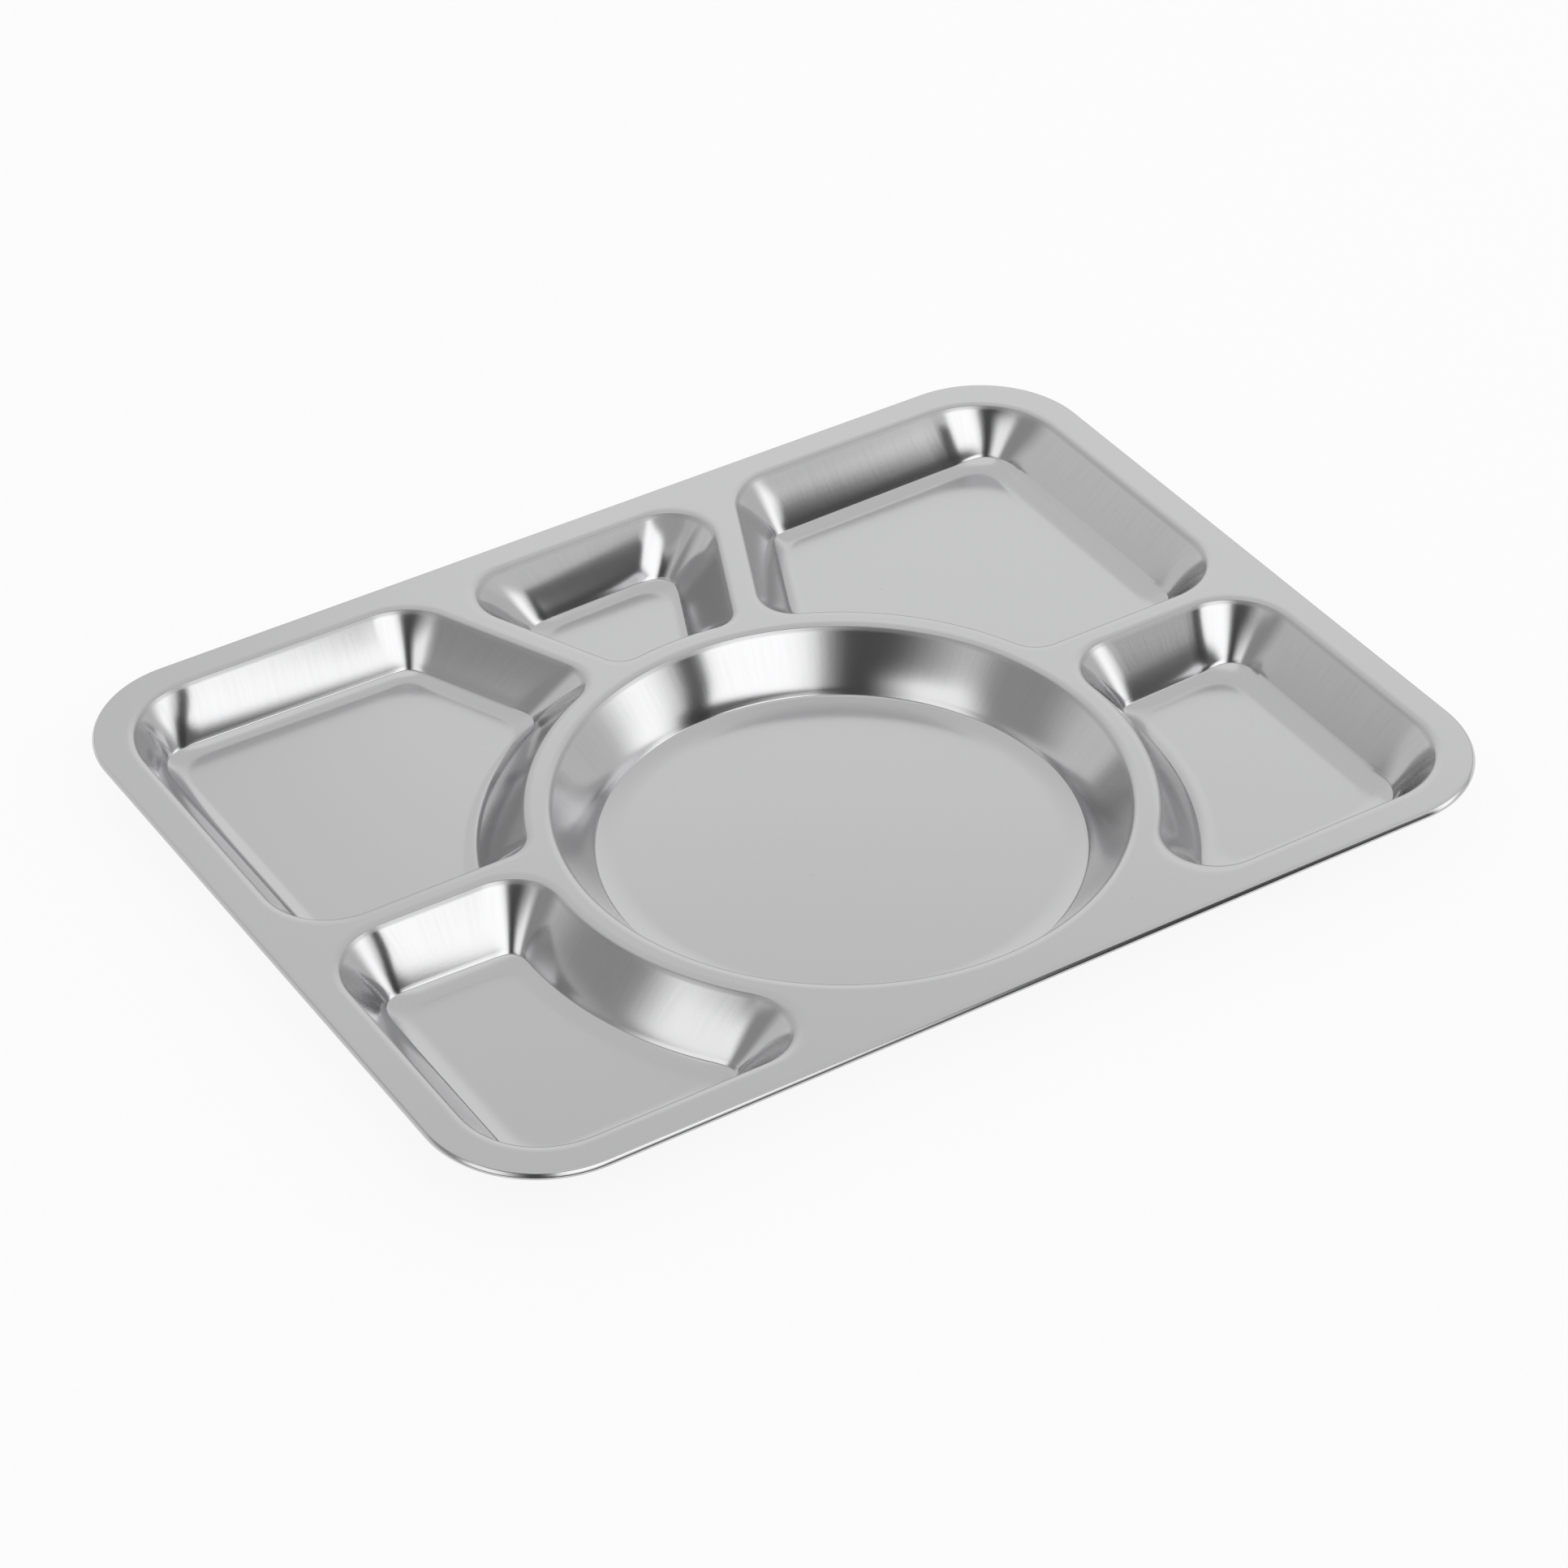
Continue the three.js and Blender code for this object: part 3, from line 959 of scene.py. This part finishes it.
class TRAY_OT_studio(bpy.types.Operator):
    """Sets up the floor, the light tent and the camera"""

    bl_idname = "tray.studio"
    bl_label = "Studio"

    def execute(self, context):
        studio = context.scene.tray_studio
        scene = context.scene
        scene.view_settings.view_transform = "Standard"
        self.lay_floor(studio)
        self.light_world(scene, studio)
        self.hang_tent(studio)
        self.stand_camera(scene, studio)
        return {"FINISHED"}

    def lay_floor(self, studio):
        """Pale paper, lifted towards white for the eye and in reflections. It keeps some shadow."""
        bpy.ops.object.select_all(action="DESELECT")
        bpy.ops.mesh.primitive_plane_add(size=studio.floor_size)
        floor = bpy.context.object
        floor.name = "floor"
        material = bpy.data.materials.new("pale_paper")
        tree = empty_tree(material)
        paper = add_node(tree, "ShaderNodeBsdfDiffuse", {"Color": (*studio.floor, 1)})
        white = add_node(tree, "ShaderNodeEmission", {"Strength": 1.0})
        ray = add_node(tree, "ShaderNodeLightPath")
        seen = ray.outputs["Is Camera Ray"]
        for kind in ("Is Glossy Ray", "Is Transmission Ray"):
            seen = add_node(
                tree, "ShaderNodeMath", links={0: seen, 1: ray.outputs[kind]}, operation="MAXIMUM"
            ).outputs["Value"]
        lifted = add_node(
            tree, "ShaderNodeMath", {1: studio.floor_white}, links={0: seen}, operation="MULTIPLY"
        )
        mix = add_node(
            tree,
            "ShaderNodeMixShader",
            links={0: lifted.outputs["Value"], 1: paper.outputs["BSDF"], 2: white.outputs["Emission"]},
        )
        add_node(tree, "ShaderNodeOutputMaterial", links={"Surface": mix.outputs["Shader"]})
        floor.data.materials.append(material)

    def light_world(self, scene, studio):
        """An even white tent, seen wherever no panel hangs in front of it."""
        world = bpy.data.worlds.new("white_tent")
        tree = empty_tree(world)
        white = add_node(tree, "ShaderNodeBackground", {"Color": (1, 1, 1, 1), "Strength": studio.daylight})
        add_node(tree, "ShaderNodeOutputWorld", links={"Surface": white.outputs["Background"]})
        scene.world = world

    def hang_tent(self, studio):
        """Each panel is a unit grid bent on to a sphere round the tray. Later ones hang a little nearer."""
        for order, (name, panel) in enumerate(PANELS.items()):
            left, right, low, high, *soft, brightness = panel
            radius = studio.tent_radius - order * PANEL_GAP
            bpy.ops.object.select_all(action="DESELECT")
            bpy.ops.mesh.primitive_grid_add(x_subdivisions=PANEL_STEPS, y_subdivisions=PANEL_STEPS, size=1)
            sheet = bpy.context.object
            sheet.name = name
            for vertex in sheet.data.vertices:
                turn = math.radians(left + (right - left) * (vertex.co.x + 0.5))
                rise = math.radians(low + (high - low) * (vertex.co.y + 0.5))
                out = Vector((math.sin(turn), -math.cos(turn), 0)) * math.cos(rise)
                vertex.co = (out + Vector((0, 0, math.sin(rise)))) * radius
            spans = (right - left, right - left, high - low, high - low)
            edges = [width / span for width, span in zip(soft, spans)]
            sheet.data.materials.append(self.panel_glow(name, brightness, *edges))
            sheet.visible_camera = False

    def panel_glow(self, name, brightness, left, right, low, high):
        """Even light that fades out over a share of the panel at each edge that has one."""
        material = bpy.data.materials.new(name)
        tree = empty_tree(material)
        place = add_node(tree, "ShaderNodeTexCoord")
        across = add_node(tree, "ShaderNodeSeparateXYZ", links={0: place.outputs["UV"]})
        shown = None
        for axis, start, end in (("X", 0, left), ("X", 1, 1 - right), ("Y", 0, low), ("Y", 1, 1 - high)):
            if start == end:
                continue
            ramp = add_node(
                tree,
                "ShaderNodeMapRange",
                {"From Min": start, "From Max": end},
                {"Value": across.outputs[axis]},
                interpolation_type="SMOOTHSTEP",
            ).outputs["Result"]
            if shown:
                both = add_node(tree, "ShaderNodeMath", links={0: shown, 1: ramp}, operation="MULTIPLY")
                ramp = both.outputs["Value"]
            shown = ramp
        glow = add_node(tree, "ShaderNodeEmission", {"Strength": brightness})
        clear = add_node(tree, "ShaderNodeBsdfTransparent")
        mix = add_node(
            tree,
            "ShaderNodeMixShader",
            links={0: shown, 1: clear.outputs["BSDF"], 2: glow.outputs["Emission"]},
        )
        add_node(tree, "ShaderNodeOutputMaterial", links={"Surface": mix.outputs["Shader"]})
        material.cycles.emission_sampling = "NONE"
        return material

    def stand_camera(self, scene, studio):
        """A long lens, high up at the tray's front left."""
        place = Vector(studio.camera_place)
        aim = (Vector(studio.camera_aim) - place).to_track_quat("-Z", "Y")
        turn = aim @ Quaternion((0, 0, 1), studio.camera_roll)
        bpy.ops.object.camera_add(location=place, rotation=turn.to_euler())
        camera = bpy.context.object
        camera.name = "photo_camera"
        camera.data.lens = studio.lens
        scene.camera = camera


class TRAY_PT_panel(bpy.types.Panel):
    """The tray's pieces and the studio"""

    bl_label = "Food tray"
    bl_idname = "TRAY_PT_panel"
    bl_space_type = "VIEW_3D"
    bl_region_type = "UI"
    bl_category = "Food tray"

    def draw(self, context):
        for operator in OPERATORS:
            self.layout.operator(operator.bl_idname)


GROUPS = {"tray_sizes": TraySizes, "tray_finish": TrayFinish, "tray_studio": StudioSizes}
OPERATORS = (TRAY_OT_deck, TRAY_OT_rolled_rim, TRAY_OT_round_well, TRAY_OT_corner_wells, TRAY_OT_studio)


def register():
    for group in GROUPS.values():
        bpy.utils.register_class(group)
    for name, group in GROUPS.items():
        setattr(bpy.types.Scene, name, PointerProperty(type=group))
    for operator in OPERATORS:
        bpy.utils.register_class(operator)
    bpy.utils.register_class(TRAY_PT_panel)


def unregister():
    bpy.utils.unregister_class(TRAY_PT_panel)
    for operator in reversed(OPERATORS):
        bpy.utils.unregister_class(operator)
    for name, group in reversed(GROUPS.items()):
        delattr(bpy.types.Scene, name)
        bpy.utils.unregister_class(group)


def main():
    register()
    bpy.ops.tray.deck()
    bpy.ops.tray.rolled_rim()
    bpy.ops.tray.round_well()
    bpy.ops.tray.corner_wells()
    bpy.ops.tray.studio()


if __name__ == "__main__":
    main()
